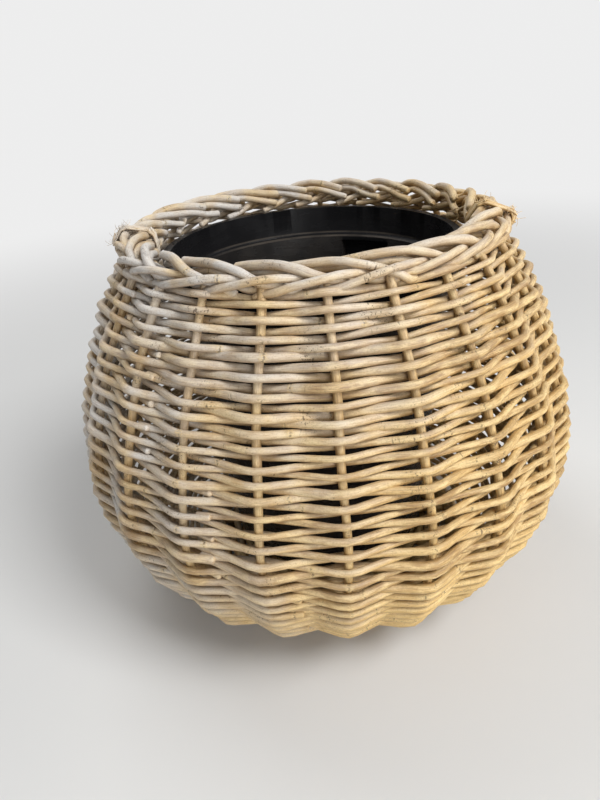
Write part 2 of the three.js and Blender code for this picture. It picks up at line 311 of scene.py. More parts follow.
def bend_rods(name, rods, sides):
    """Bends round rods along their lines and makes them one mesh.

    Each rod is its points, its radii and its shade from 0 to 1."""
    shaped = [(*rounded_ends(points, radii), tone) for points, radii, tone in rods]
    piece = swept_rods(name, shaped, sides)
    mark_rods(piece.data, shaped, sides)
    bpy.ops.object.mode_set(mode="EDIT")
    bpy.ops.mesh.select_all(action="SELECT")
    bpy.ops.mesh.remove_doubles(threshold=0.00003)
    bpy.ops.mesh.select_all(action="SELECT")
    bpy.ops.mesh.dissolve_degenerate(threshold=0.000005)
    bpy.ops.mesh.select_all(action="SELECT")
    bpy.ops.mesh.normals_make_consistent(inside=False)
    bpy.ops.object.mode_set(mode="OBJECT")
    bpy.ops.object.shade_smooth()
    return piece


def swept_rods(name, shaped, sides):
    """Sweeps a round section with that many sides along each rod's line."""
    bpy.ops.object.select_all(action="DESELECT")
    bpy.ops.curve.primitive_nurbs_path_add(location=(0, 0, 0))
    piece = bpy.context.object
    piece.name = name
    line = piece.data
    line.name = name
    line.splines.clear()
    line.dimensions = "3D"
    line.twist_mode = "MINIMUM"
    line.bevel_depth = 1
    line.bevel_resolution = (sides - 4) // 2
    for points, radii, _ in shaped:
        spline = line.splines.new("POLY")
        spline.points.add(len(points) - 1)
        spline.points.foreach_set("co", np.c_[points, np.ones(len(points))].ravel())
        spline.points.foreach_set("radius", radii)
    bpy.ops.object.convert(target="MESH")
    corners = len(piece.data.vertices)
    expected = sides * sum(len(points) for points, _, _ in shaped)
    if corners != expected:
        raise RuntimeError(f"{name} has {corners} corners and not {expected}")
    return piece


def mark_rods(mesh, shaped, sides):
    """Gives the mesh the two attributes that the cane's finish reads.

    Grain is a place on the rod, as metres along it and a point of its section. Tone holds the
    rod's own shade, how grey each place is from weathering and from painted sky light, and how far it faces
    down."""
    shade_shift, rod_shift = 7.3, 1.7
    turns = FULL_TURN * np.arange(sides) / sides
    grain, shades = [], []
    for number, (points, radii, tone) in enumerate(shaped):
        spans = np.linalg.norm(np.diff(points, axis=0), axis=1)
        along = np.concatenate([[0], np.cumsum(spans)]) + shade_shift * tone + rod_shift * number
        grain.append(np.stack([
            np.repeat(along, sides),
            np.outer(radii, np.cos(turns)).ravel(),
            np.outer(radii, np.sin(turns)).ravel(),
        ], axis=1))
        shades.append(np.full(len(points) * sides, tone))
    place = read_vectors(mesh.vertices, "co")
    facing = read_vectors(mesh.vertex_normals, "vector")
    tones = np.ones((len(place), 4))
    tones[:, 0] = np.concatenate(shades)
    tones[:, 1] = weathering_and_sky_light(place, facing)
    tones[:, 2] = (1 - facing[:, 2]) / 2
    grain_layer = mesh.attributes.new("grain", "FLOAT_VECTOR", "POINT")
    grain_layer.data.foreach_set("vector", np.concatenate(grain).ravel())
    tone_layer = mesh.attributes.new("tone", "FLOAT_COLOR", "POINT")
    tone_layer.data.foreach_set("color", tones.ravel())


def weathering_and_sky_light(place, facing):
    """How grey the cane is, partly from weathering and partly as painted cool sky light: most on the tops of
    rods, high up the wall and at the left.
    """
    grey_from, grey_over, half_width = 0.20, 0.17, 0.25
    # Painted sky light: upward faces, the upper wall and the left side get more of the grey wash
    upward = np.clip(facing[:, 2], 0, 1)
    high = np.clip((place[:, 2] - grey_from) / grey_over, 0, 1)
    right = np.clip(place[:, 0] / half_width, -1, 0.55)
    return np.clip(0.34 * upward + 0.62 * high - right + 0.10, 0, 1.1)


def read_vectors(items, key):
    """A vector of every item of a mesh, as the rows of an array."""
    values = np.empty(len(items) * 3)
    items.foreach_get(key, values)
    return values.reshape(-1, 3)


def select_only(piece):
    """Selects one piece alone and makes it the active one."""
    bpy.ops.object.select_all(action="DESELECT")
    piece.select_set(True)
    bpy.context.view_layer.objects.active = piece


def finish_piece(piece, material, slot, body, *nodes):
    """Gives a piece its finish and its place among the frame's bodies."""
    piece.data.materials.clear()
    piece.data.materials.append(material)
    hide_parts(*nodes)
    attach(piece, body)


# Finishes


def add_node(tree, kind, inputs=None, **settings):
    """Adds a node with its settings, and gives or links its inputs."""
    node = tree.nodes.new(kind)
    for key, value in settings.items():
        setattr(node, key, value)
    for key, value in (inputs or {}).items():
        if isinstance(value, bpy.types.NodeSocket):
            tree.links.new(value, node.inputs[key])
        else:
            node.inputs[key].default_value = value
    return node


def seen_rays(tree):
    """1 for the rays that show a backdrop: the camera's, mirrored ones and those through glass."""
    rays = add_node(tree, "ShaderNodeLightPath").outputs
    seen = rays["Is Camera Ray"]
    for kind in ("Is Glossy Ray", "Is Transmission Ray"):
        seen = add_node(tree, "ShaderNodeMath", {0: seen, 1: rays[kind]}, operation="MAXIMUM").outputs[0]
    return seen


class Mixer:
    """Short words for the nodes that a finish is mixed from."""

    def __init__(self, name):
        self.material = bpy.data.materials.new(name)
        self.material.use_nodes = True
        self.tree = self.material.node_tree
        self.tree.nodes.clear()
        self.out = self.add("ShaderNodeOutputMaterial")

    def add(self, kind, inputs=None, **settings):
        return add_node(self.tree, kind, inputs, **settings)

    def place(self):
        """The place on the piece, in metres from its origin."""
        return self.add("ShaderNodeTexCoord").outputs["Object"]

    def axis(self, vector, key):
        """One of the three values of a vector."""
        return self.add("ShaderNodeSeparateXYZ", {"Vector": vector}).outputs[key]

    def dot(self, vector, direction):
        """How far a vector reaches in a direction."""
        settings = {0: vector, 1: direction}
        return self.add("ShaderNodeVectorMath", settings, operation="DOT_PRODUCT").outputs["Value"]

    def noise(self, vector, scale, detail, roughness, stretch=(1, 1, 1)):
        """Soft noise, its scale given as cells to the metre, stretched where asked."""
        moved = self.add("ShaderNodeMapping", {"Vector": vector, "Scale": stretch}).outputs["Vector"]
        settings = {"Vector": moved, "Scale": scale, "Detail": detail, "Roughness": roughness}
        return self.add("ShaderNodeTexNoise", settings).outputs["Fac"]

    def spread(self, value, low, high, to_low=0.0, to_high=1.0):
        """Spreads a value between two limits."""
        settings = {"Value": value, "From Min": low, "From Max": high, "To Min": to_low, "To Max": to_high}
        return self.add("ShaderNodeMapRange", settings, interpolation_type="SMOOTHSTEP").outputs["Result"]

    def math(self, operation, first, second=0.0, third=0.0, clamp=False):
        inputs = {0: first, 1: second, 2: third}
        return self.add("ShaderNodeMath", inputs, operation=operation, use_clamp=clamp).outputs[0]

    def times(self, first, second, clamp=False):
        return self.math("MULTIPLY", first, second, clamp=clamp)

    def scaled(self, value, factor, offset, clamp=False):
        """A value times a factor, with an offset added."""
        return self.math("MULTIPLY_ADD", value, factor, offset, clamp=clamp)

    def away_from(self, value, centre):
        """How far a value is from a centre, on either side."""
        return self.math("ABSOLUTE", self.math("SUBTRACT", value, centre))

    def mix(self, share, first, second):
        """Mixes two colours."""
        settings = {0: share, 6: self.colour(first), 7: self.colour(second)}
        return self.add("ShaderNodeMix", settings, data_type="RGBA").outputs[2]

    @staticmethod
    def colour(value):
        return value if isinstance(value, bpy.types.NodeSocket) else (*tuple(value)[:3], 1)

    def bump(self, height, strength, distance):
        """Heights as a bumpy normal."""
        settings = {"Height": height, "Strength": strength, "Distance": distance}
        return self.add("ShaderNodeBump", settings).outputs["Normal"]

    def finished(self, surface):
        """The material, with that shader on its surface."""
        self.tree.links.new(surface, self.out.inputs["Surface"])
        return self.material


def cane_finish(name, colours, shade=1.0, wash=0.8, roughness=0.52):
    """Peeled rattan core: long fine fibres, nodes, specks, a grey wash that is partly weathering and partly
    painted sky light, and painted shade on the undersides.
    """
    mixer = Mixer(name)
    grain = mixer.add("ShaderNodeAttribute", attribute_name="grain").outputs["Vector"]
    tone = mixer.add("ShaderNodeAttribute", attribute_name="tone").outputs["Color"]
    rod, weathered_and_sky_lit, under = mixer.add("ShaderNodeSeparateColor", {"Color": tone}).outputs[:3]
    place = mixer.place()
    deep, tan, pale, golden, grey, dark = (
        [channel * shade for channel in colour]
        for colour in (colours.deep, colours.tan, colours.pale, colours.golden, colours.wash, colours.mark)
    )

    streaks = mixer.noise(grain, 1, 3, 0.6, (26, 620, 620))
    fibres = mixer.noise(grain, 1, 2, 0.6, (90, 2300, 2300))
    lines = mixer.noise(grain, 1, 2, 0.6, (110, 1350, 1350))
    mottle = mixer.noise(grain, 1, 3, 0.6, (62, 170, 170))
    patches = mixer.noise(place, 21, 3, 0.55)
    pores = mixer.noise(place, 780, 2, 0.6)

    body = mixer.scaled(mixer.spread(streaks, 0.32, 0.68), 0.55, 0.04)
    body = mixer.scaled(rod, 0.62, body, clamp=True)
    colour = mixer.mix(body, deep, tan)
    colour = mixer.mix(mixer.times(mixer.spread(mottle, 0.40, 0.66), 0.75), colour, pale)
    near_foot = mixer.spread(mixer.axis(place, "Z"), 0.18, 0.06)
    colour = mixer.mix(mixer.times(near_foot, 0.40), colour, golden)
    lifted = mixer.times(mixer.spread(lines, 0.48, 0.32), 0.35)
    colour = mixer.mix(lifted, colour, pale)
    # Grey wash share: partly real weathering, partly painted cool sky light
    patchy_pale_share = mixer.scaled(mixer.spread(patches, 0.32, 0.68), 0.9, 0.25)
    patchy_pale_share = mixer.times(patchy_pale_share, mixer.scaled(rod, 0.5, 0.75))
    patchy_pale_share = mixer.times(mixer.times(patchy_pale_share, weathered_and_sky_lit), wash, clamp=True)
    colour = mixer.mix(patchy_pale_share, colour, grey)
    sunk = mixer.times(mixer.spread(lines, 0.48, 0.68), 0.30)
    sunk = mixer.scaled(mixer.spread(pores, 0.50, 0.68), 0.24, sunk)
    colour = mixer.mix(sunk, colour, deep)
    shadowed = mixer.times(mixer.spread(under, 0.42, 0.95), 0.45)
    colour = mixer.mix(shadowed, colour, deep)
    marks, scar = cane_marks(mixer, grain, place, rod, pores)
    colour = mixer.mix(mixer.times(scar, 0.45), colour, pale)
    colour = mixer.mix(marks, colour, dark)

    height = mixer.scaled(fibres, 0.35, mixer.times(streaks, 0.5))
    height = mixer.scaled(mottle, 0.6, height)
    height = mixer.scaled(scar, 0.8, mixer.scaled(marks, -0.9, height))
    bump = mixer.bump(height, 0.6, 0.0007)
    rough = mixer.spread(mottle, 0.2, 0.8, roughness - 0.10, roughness + 0.12)
    shader = mixer.add("ShaderNodeBsdfPrincipled", {
        "Base Color": colour, "Roughness": rough, "Normal": bump, "Specular IOR Level": 0.5})
    return mixer.finished(shader.outputs["BSDF"])


def cane_marks(mixer, grain, place, rod, pores):
    """The dark specks, cracks and rings of the nodes, and the pale scar beside each ring."""
    nodes_per_metre = 4.3
    ring_centre = 0.512
    gate = mixer.spread(mixer.noise(place, 34, 2, 0.5), 0.52, 0.66)
    specks = mixer.spread(mixer.noise(place, 620, 2, 0.6), 0.60, 0.68)
    cracks = mixer.spread(mixer.noise(grain, 1, 2, 0.5, (560, 210, 210)), 0.63, 0.71)
    flecks = mixer.math("MAXIMUM", mixer.times(specks, gate), mixer.times(cracks, gate))
    turn = mixer.math("FRACT", mixer.scaled(mixer.axis(grain, "X"), nodes_per_metre, rod))
    bent = mixer.scaled(mixer.noise(grain, 1, 2, 0.6, (150, 420, 420)), 0.024, turn)
    from_ring = mixer.away_from(bent, ring_centre)
    ring = mixer.spread(from_ring, 0.0048, 0.0012)
    ragged = mixer.spread(mixer.noise(grain, 1, 2, 0.5, (300, 520, 520)), 0.40, 0.60)
    ring = mixer.times(mixer.times(ring, ragged), 0.62)
    scar = mixer.times(mixer.spread(from_ring, 0.016, 0.006), mixer.spread(pores, 0.40, 0.55))
    return mixer.math("MAXIMUM", mixer.times(flecks, 0.75), ring), scar


def liner_plastic(settings):
    """Black moulded plastic with a soft gloss, a little dust, less dust as painted shade on the band under
    the rim and in the pocket's panel, and painted highlight lines along the rim's step.
    """
    panel_depth = (0.080, 0.084)
    panel_side = (0.0275, 0.0262)
    wall_top = (0.318, 0.3165)
    step_highlight_heights = (0.3214, 0.3178)
    highlight_line_width = (0.0012, 0.0005)
    mixer = Mixer("liner_plastic")
    place = mixer.place()
    height = mixer.axis(place, "Z")
    out = mixer.dot(place, (math.sin(POCKET_BEARING), -math.cos(POCKET_BEARING), 0))
    side = mixer.dot(place, (math.cos(POCKET_BEARING), math.sin(POCKET_BEARING), 0))
    side = mixer.spread(mixer.math("ABSOLUTE", side), *panel_side)
    panel = mixer.times(mixer.spread(out, *panel_depth), side)
    wall = mixer.spread(height, *wall_top)
    # Painted shade: less dust, so darker plastic, on the band under the rim where the border's shade falls
    # and in the pocket's recessed panel
    unshaded_dusty_wall = mixer.times(wall, mixer.math("SUBTRACT", 1, panel))
    dust = mixer.spread(mixer.noise(place, 38, 4, 0.6), 0.30, 0.80, 0.09, 0.28)
    dust = mixer.times(dust, mixer.scaled(unshaded_dusty_wall, 0.95, 0.05))
    # Painted highlight lines: the dust colour along the two edges of the rim's step, broken up by noise
    upper, lower = (mixer.spread(mixer.away_from(height, edge), *highlight_line_width) for edge in step_highlight_heights)
    patchy_pale_share = mixer.spread(mixer.noise(place, 14, 3, 0.6), 0.3, 0.7)
    edges = mixer.times(mixer.math("MAXIMUM", upper, lower), patchy_pale_share)
    colour = mixer.mix(mixer.math("MAXIMUM", dust, edges), settings.colour, settings.dust)
    scuffs = mixer.noise(place, 1, 3, 0.5, (40, 40, 120))
    rough = mixer.spread(scuffs, 0.3, 0.75, settings.roughness - 0.03, settings.roughness + 0.10)
    bump = mixer.bump(mixer.noise(place, 700, 2, 0.5), 0.05, 0.0002)
    shine = mixer.scaled(wall, 0.16, 0.10)
    shader = mixer.add("ShaderNodeBsdfPrincipled", {
        "Base Color": colour, "Roughness": rough, "Normal": bump, "Specular IOR Level": shine})
    return mixer.finished(shader.outputs["BSDF"])


def cane(name, **changes):
    """The finish of that name, made once."""
    found = bpy.data.materials.get(name)
    return found or cane_finish(name, bpy.context.scene.planter_cane, **changes)


# Operators


class PLANTER_OT_stage(bpy.types.Operator):
    """Lays the pale floor, sets the lamps and places the camera"""

    bl_idname = "planter.stage"
    bl_label = "Floor, lamps and camera"

    # Each lamp's name, place, width and the setting that holds its power
    lamps = (
        ("key_lamp", (1.25, -1.05, 2.10), 1.0, "key_power"),
        ("fill_lamp", (0.95, -2.00, 0.40), 1.5, "fill_power"),
        ("back_lamp", (-0.95, 1.15, 2.20), 1.5, "back_power"),
        ("side_lamp", (2.00, 0.15, 0.75), 0.7, "side_power"),
    )
    lamps_aim = (0, 0, 0.2)
    sky_colour = (0.97, 0.98, 1, 1)
    fade = (0.5, 2.1)
    camera_place = (0, -0.5698, 0.4917)
    camera_lens = 27.05
    camera_down = math.radians(29.07)
    camera_right = math.radians(-2.36)
    camera_roll = math.radians(-5.06)

    def execute(self, context):
        settings = context.scene.planter_stage
        bpy.ops.object.select_all(action="DESELECT")
        bpy.ops.mesh.primitive_circle_add(vertices=128, radius=7, fill_type="NGON", location=(0, 0, 0))
        floor = context.object
        floor.name = "floor"
        floor.data.materials.append(self.floor_finish(settings))
        self.room_light(context, settings)
        for name, place, width, power in self.lamps:
            self.lamp(name, place, width, getattr(settings, power))
        self.camera(context)
        return {"FINISHED"}

    def floor_finish(self, settings):
        """Pale matt floor that fades into the background far from the object."""
        mixer = Mixer("floor_paint")
        place = mixer.place()
        far = mixer.add("ShaderNodeVectorMath", {0: place}, operation="LENGTH").outputs["Value"]
        grain = mixer.noise(place, 38, 3, 0.5)
        colour = mixer.mix(mixer.times(grain, 0.05), settings.floor_colour, (0.6, 0.6, 0.6))
        paint = mixer.add("ShaderNodeBsdfPrincipled", {"Base Color": colour, "Roughness": 0.8})
        glow = mixer.add("ShaderNodeEmission", {"Color": BACKDROP, "Strength": 1})
        share = mixer.times(mixer.spread(far, *self.fade), seen_rays(mixer.tree))
        shaders = {0: share, 1: paint.outputs["BSDF"], 2: glow.outputs["Emission"]}
        return mixer.finished(mixer.add("ShaderNodeMixShader", shaders).outputs["Shader"])

    def room_light(self, context, settings):
        """Even light all round, and the backdrop for the rays that show it."""
        world = bpy.data.worlds.new("studio")
        context.scene.world = world
        world.use_nodes = True
        tree = world.node_tree
        tree.nodes.clear()
        even = {"Color": self.sky_colour, "Strength": settings.sky_strength}
        even = add_node(tree, "ShaderNodeBackground", even).outputs[0]
        backdrop = add_node(tree, "ShaderNodeBackground", {"Color": BACKDROP, "Strength": 1}).outputs[0]
        both = add_node(tree, "ShaderNodeMixShader", {0: seen_rays(tree), 1: even, 2: backdrop})
        out = add_node(tree, "ShaderNodeOutputWorld")
        tree.links.new(both.outputs["Shader"], out.inputs["Surface"])

    def lamp(self, name, place, width, power):
        """A square lamp that is turned towards the object."""
        bpy.ops.object.light_add(type="AREA", location=place)
        lamp = bpy.context.object
        lamp.name = name
        lamp.data.energy = power
        lamp.data.size = width
        aim = Vector(self.lamps_aim) - Vector(place)
        lamp.rotation_euler = aim.to_track_quat("-Z", "Y").to_euler()

    def camera(self, context):
        """The camera at the viewing angle, a little turned and rolled."""
        bpy.ops.object.camera_add(location=self.camera_place)
        camera = context.object
        camera.name = "camera"
        camera.data.sensor_fit = "VERTICAL"
        camera.data.sensor_height = 36
        camera.data.lens = self.camera_lens
        camera.data.clip_start = 0.01
        camera.data.clip_end = 60
        down, aside, roll = self.camera_down, self.camera_right, self.camera_roll
        ahead = Vector((math.sin(aside) * math.cos(down), math.cos(aside) * math.cos(down), -math.sin(down)))
        level = ahead.cross(Vector((0, 0, 1))).normalized()
        above = level.cross(ahead)
        right = math.cos(roll) * level + math.sin(roll) * above
        up = -math.sin(roll) * level + math.cos(roll) * above
        turned = Matrix((right, up, -ahead)).transposed().to_4x4()
        camera.matrix_world = Matrix.Translation(camera.location) @ turned
        context.scene.camera = camera


class PLANTER_OT_stakes(bpy.types.Operator):
    """Sets the upright stakes round the foot hoop and bends them over under the border"""

    bl_idname = "planter.stakes"
    bl_label = "Upright stakes"

    point_count = 60
    top_gap = 0.0020
    sway = 0.0006
    sway_pace = 55
    lean = math.radians(0.5)
    bend_along = math.radians(2.4)
    bend_in = 0.0026
    bend_up = 0.0058

    def execute(self, context):
        scene = context.scene
        wall = WallLine(scene.planter_wall)
        weave = scene.planter_weave
        chance = random.Random(11)
        for index in range(weave.stake_count):
            bearing = stake_bearing(index, weave.stake_count)
            distance = np.linspace(0, wall.length - self.top_gap, self.point_count)
            radius, height, _, _ = wall.at(distance)
            sway = self.sway * np.sin(distance * self.sway_pace + 6 * chance.random())
            lean = self.lean * (distance / wall.length) ** 3
            points = points_at(bearing + lean + sway / radius, radius, height)
            turn = np.linspace(0.25, 1, 4)
            over = points_at(
                bearing + self.lean + self.bend_along * turn ** 1.4,
                radius[-1] - self.bend_in * turn,
                height[-1] + self.bend_up * turn * (1.30 - 0.30 * turn),
            )
            points = np.concatenate([points, over])
            thickness = weave.stake_diameter / 2 * (0.94 + 0.12 * chance.random())
            radii = thickness * (1 + 0.03 * np.sin(np.linspace(0, 21, len(points)) + 6 * chance.random()))
            name = f"stake_{index + 1:02d}"
            piece = bend_rods("upright_" + name, [(points, radii, 0.25 + 0.7 * chance.random())], 12)
            finish_piece(piece, cane("stake_cane", shade=0.98, wash=0.45), "stake_rattan", BASKET, name)
        return {"FINISHED"}


class Unevenness:
    """How far the woven rods stray from their even places, along the wall and out from it."""

    out_spread = 0.00035
    region_spread = 0.0014
    region_rows = 10
    region_columns = 6

    def __init__(self, spread, pass_count, chance):
        self.stray = chance.normal(0, spread, pass_count + 4)
        self.push = chance.normal(0, self.out_spread, pass_count + 4)
        self.knots = chance.normal(0, self.region_spread, (self.region_rows, self.region_columns))

    def along(self, passes, share_up, turns):
        """Each pass's own shift along the wall, and the shift of the region that it lies in."""
        return eased(self.stray, passes) + self.region(share_up, turns)

    def out(self, passes):
        return eased(self.push, passes)

    def region(self, share_up, turns):
        """A soft field of shifts, so that some neighbours lie close and others leave a gap."""
        up = np.clip(share_up, 0, 0.9999) * (self.region_rows - 1)
        low = np.floor(up).astype(int)
        rise = softened(up - low)
        around = (turns % 1) * self.region_columns
        left = np.floor(around).astype(int) % self.region_columns
        right = (left + 1) % self.region_columns
        part = softened(around - np.floor(around))
        lower = self.knots[low, left] * (1 - part) + self.knots[low, right] * part
        upper = self.knots[low + 1, left] * (1 - part) + self.knots[low + 1, right] * part
        return lower * (1 - rise) + upper * rise


class PLANTER_OT_weave(bpy.types.Operator):
    """Weaves the wall's rods in front of one stake and behind the next"""

    bl_idname = "planter.weave"
    bl_label = "Woven wall"

    # The rods are counted in passes, one for each stake that they go past
    node_count = 20
    pass_count = 1376
    first_row = 0.00961
    steps_per_pass = 8
    tip = 0.02
    starts_past = 0.20
    ends_past = 0.42
    wave_shares = ((0.855, 1), (0.105, 3), (0.04, 5))
    stake_gap = 0.0001
    chord_sag = 0.0093
    end_reach = 0.22
    end_out = 0.0026
    start_in = 0.0032
    # How fast the rods' unevenness sets in from the foot and from the top
    edge_rise = 12

    def execute(self, context):
        scene = context.scene
        wall = WallLine(scene.planter_wall)
        weave = scene.planter_weave
        chance = np.random.default_rng(7)
        uneven = Unevenness(weave.unevenness, self.pass_count, chance)
        last = self.node_count - 1
        for number in range(self.node_count):
            start = self.pass_count * number / self.node_count
            end = self.pass_count * (number + 1) / self.node_count
            start = self.tip if number == 0 else round(start) + self.starts_past
            end = self.pass_count - self.tip if number == last else round(end) + self.ends_past
            middle = 2 * round((start + end) / 4 + chance.uniform(-4, 4)) + 1
            spans = ((start, middle + self.ends_past), (middle + self.starts_past, end))
            rods = [self.rod(wall, weave, low, high, uneven, chance) for low, high in spans]
            name = f"weaver_{number + 1:02d}"
            piece = bend_rods("woven_" + name, rods, 10)
            finish_piece(piece, cane("weaver_cane"), "weaver_rattan", BASKET, name)
        return {"FINISHED"}

    def rod(self, wall, weave, low, high, uneven, chance):
        """One rod's line, radii and shade, from one pass to another."""
        steps = self.steps_per_pass
        passes = np.arange(math.ceil(low * steps + 0.5) / steps, high - 0.05, 1 / steps)
        passes = np.concatenate([[low], passes, [high]])
        thickness = weave.rod_diameter / 2 * chance.uniform(0.82, 1.20)
        ripple = 0.035 * np.sin(passes * 0.9 + chance.uniform(0, 6))
        taper = 0.06 * np.linspace(1, -1, len(passes)) * chance.choice([-1, 1])
        radii = thickness * (1 + ripple + taper)
        distance = self.first_row + weave.row_pitch * passes / weave.stake_count
        share_up = distance / wall.length
        edge = np.clip(np.minimum(share_up, 1 - share_up) * self.edge_rise, 0, 1)
        distance = distance + uneven.along(passes, share_up, passes / weave.stake_count) * edge
        radius, height, out_radius, out_height = wall.at(distance)
        wave = -sum(share * np.cos(turn * math.pi * passes) for share, turn in self.wave_shares)
        reach = weave.stake_diameter / 2 + radii + self.stake_gap
        offset = reach * wave + uneven.out(passes)
        offset += (
            self.end_out * np.exp((passes - high) / self.end_reach)
            - self.start_in * np.exp((low - passes) / self.end_reach)
        )
        chord = 1 - self.chord_sag * (0.5 - 0.5 * np.cos(FULL_TURN * passes))
        bearing = stake_bearing(passes, weave.stake_count)
        points = points_at(bearing, radius * chord + out_radius * offset, height + out_height * offset)
        return points, radii, float(chance.uniform(0, 1))


class PLANTER_OT_border(bpy.types.Operator):
    """Plaits the border: each stake has a long rod on top, one inside it and one outside"""

    bl_idname = "planter.border"
    bl_label = "Plaited border"

    # Each rod's way past its stake: degrees along the rim, radius and height in millimetres
    top_rod = [
        (-26, 147.5, 365.0), (-21.5, 150.3, 367.8), (-17, 154.3, 370.0), (-13, 159.0, 371.3),
        (-10, 163.0, 371.4), (-7, 166.5, 369.8), (-4, 169.0, 366.6), (-1, 170.2, 362.8),
        (2, 170.3, 359.0), (5.5, 169.5, 355.5), (9, 168.0, 352.5),
    ]
    inner_rod = [
        (-27, 144.3, 356.5), (-23, 145.5, 359.0), (-19, 148.5, 361.8), (-15, 153.0, 364.3),
        (-11.5, 157.5, 365.3), (-8, 161.5, 363.3), (-5, 163.5, 359.3), (-2, 164.0, 355.0),
        (1, 163.5, 352.0),
    ]
    outer_rod = [
        (-17, 166.5, 353.5), (-13, 170.5, 356.0), (-9, 173.0, 359.0), (-5, 175.0, 362.0),
        (-1, 175.5, 365.0), (3, 173.5, 366.5), (7, 170.0, 364.5), (10.5, 164.5, 361.0),
        (14, 158.0, 357.5), (18, 151.5, 354.0), (22, 148.0, 351.0), (26, 147.0, 349.5),
    ]
    # Each way with its rods' thickness as a share of the border's
    ways = ((top_rod, 1.06), (inner_rod, 0.99), (outer_rod, 0.90))
    # How far a whole rod, and each of its points, strays along the rim, out and up
    strays = ((0.9, 0.5), (0.6, 0.45), (0.3, 0.35))
    settling_rounds = 45
    smoothing_rounds = 6
    points_per_rod = 46

    def execute(self, context):
        sizes = context.scene.planter_border
        stake_count = context.scene.planter_weave.stake_count
        chance = np.random.default_rng(23)
        lines, halves, owners = [], [], []
        for index in range(stake_count):
            stake = stake_bearing(index, stake_count)
            for way, share in self.ways:
                lines.append(self.line(way, stake, chance))
                halves.append(sizes.rod_diameter / 2 * share * chance.uniform(0.92, 1.08))
                owners.append((1 - index) % 3)
        settled = settle(lines, halves, self.settling_rounds)
        for strand in range(3):
            rods = [
                self.rod(line, half, chance)
                for line, half, owner in zip(settled, halves, owners) if owner == strand
            ]
            name = f"border_strand_{strand + 1}"
            piece = bend_rods("plaited_" + name, rods, 12)
            finish_piece(piece, cane("border_cane", shade=0.99, wash=0.95), "border_rattan", BASKET, name)
        return {"FINISHED"}

    def line(self, way, stake, chance):
        """One rod's middle line, with each point a little off its even place."""
        marks = np.array(way)
        for axis, (whole, single) in enumerate(self.strays):
            marks[:, axis] += chance.normal(0, whole) + chance.normal(0, single, len(marks))
        marks[0, 0] += chance.uniform(-3, 2)
        marks[-1, 0] += chance.uniform(-2, 3)
        knots = np.arange(len(marks))
        at = np.linspace(0, len(marks) - 1, self.points_per_rod)
        turned, radius, height = (np.interp(at, knots, marks[:, axis]) for axis in range(3))
        points = points_at(stake + np.radians(turned), radius / 1000, height / 1000)
        return smoothed(points, self.smoothing_rounds)

    @staticmethod
    def rod(line, half, chance):
        """The settled line as a rod that thins towards one end."""
        taper = np.linspace(1.05, 0.95, len(line))
        wobble = 1 + 0.02 * np.sin(np.linspace(0, 9, len(line)) + chance.uniform(0, 6))
        return line, half * taper * wobble, float(chance.uniform(0.1, 1))


